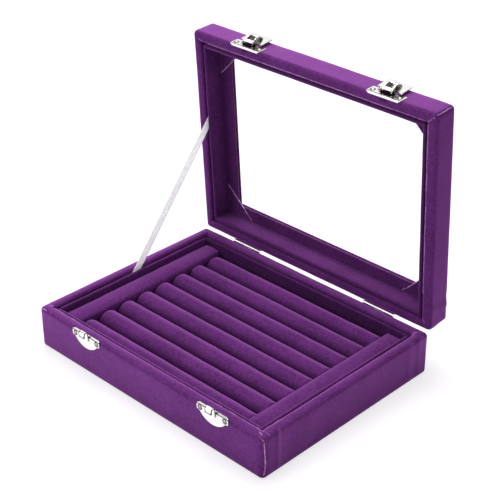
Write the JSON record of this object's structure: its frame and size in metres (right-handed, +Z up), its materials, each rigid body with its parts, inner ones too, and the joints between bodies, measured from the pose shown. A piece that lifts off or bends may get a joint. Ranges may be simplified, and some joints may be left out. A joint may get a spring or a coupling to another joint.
{
  "type": "ring display box",
  "caption": "Flat rectangular velvet-covered display box with padded ring rolls, a hinged lid with a glass window, lever latches and a ribbon stay",
  "frame": {"origin": "centre of the foot, on the surface the box stands on", "axes": "+X along the long side to the right, +Y to the hinge side, +Z up"},
  "size_m": [0.2, 0.1719, 0.1846],
  "materials": {
    "velvet": "matt short pile",
    "lining_velvet": "matt short pile",
    "padded_velvet": "matt short pile over foam",
    "velvet_patch": "matt short pile",
    "foot_felt": "pressed felt",
    "fibreboard": "raw fibreboard",
    "card": "grey board",
    "clear_glass": "clear",
    "nickel": "bright nickel plate",
    "satin": "satin ribbon"
  },
  "bodies": {
    "base": {"base_cover": "velvet", "foot_sheet": "foot_felt", "bottom_board": "fibreboard", "base_front_board": "fibreboard", "base_back_board": "fibreboard", "base_left_board": "fibreboard", "base_right_board": "fibreboard", "base_front_liner": "lining_velvet", "base_back_liner": "lining_velvet", "base_left_liner": "lining_velvet", "base_right_liner": "lining_velvet", "insert_board": "card", "left_end_bar": "padded_velvet", "right_end_bar": "padded_velvet", "ring_roll_1": "padded_velvet", "ring_roll_2": "padded_velvet", "ring_roll_3": "padded_velvet", "ring_roll_4": "padded_velvet", "ring_roll_5": "padded_velvet", "ring_roll_6": "padded_velvet", "ring_roll_7": "padded_velvet", "ring_roll_8": "padded_velvet", "left_hinge_base_leaf": "nickel", "right_hinge_base_leaf": "nickel", "hinge_pins": "nickel", "hinge_base_nails": "nickel", "left_keeper": "nickel", "right_keeper": "nickel", "keeper_nails": "nickel"},
    "lid": {"lid_cover": "velvet", "lid_face_board": "fibreboard", "window_lining": "lining_velvet", "corner_patches": "velvet_patch", "glass_pane": "clear_glass", "lid_front_board": "fibreboard", "lid_back_board": "fibreboard", "lid_left_board": "fibreboard", "lid_right_board": "fibreboard", "lid_front_liner": "lining_velvet", "lid_back_liner": "lining_velvet", "lid_left_liner": "lining_velvet", "lid_right_liner": "lining_velvet", "left_hinge_lid_leaf": "nickel", "right_hinge_lid_leaf": "nickel", "hinge_lid_nails": "nickel", "left_latch_plate": "nickel", "right_latch_plate": "nickel", "latch_nails": "nickel", "lever_pins": "nickel", "stay_ribbon": "satin"},
    "left_latch": {"left_lever": "nickel"},
    "right_latch": {"right_lever": "nickel"}
  },
  "joints": [
    {"name": "lid_hinge", "type": "hinge", "parent": "base", "child": "lid", "pos_m": [0, 0.07515, 0.02915], "axis": [1, 0, 0], "range_deg": [0, 86.7], "deforming": ["stay_ribbon"]},
    {"name": "left_lever_pivot", "type": "hinge", "parent": "lid", "child": "left_latch", "pos_m": [-0.0525, 0.07108, 0.18232], "axis": [1, 0, 0], "range_deg": [0, 176]},
    {"name": "right_lever_pivot", "type": "hinge", "parent": "lid", "child": "right_latch", "pos_m": [0.0605, 0.07108, 0.18232], "axis": [1, 0, 0], "range_deg": [0, 176]}
  ]
}
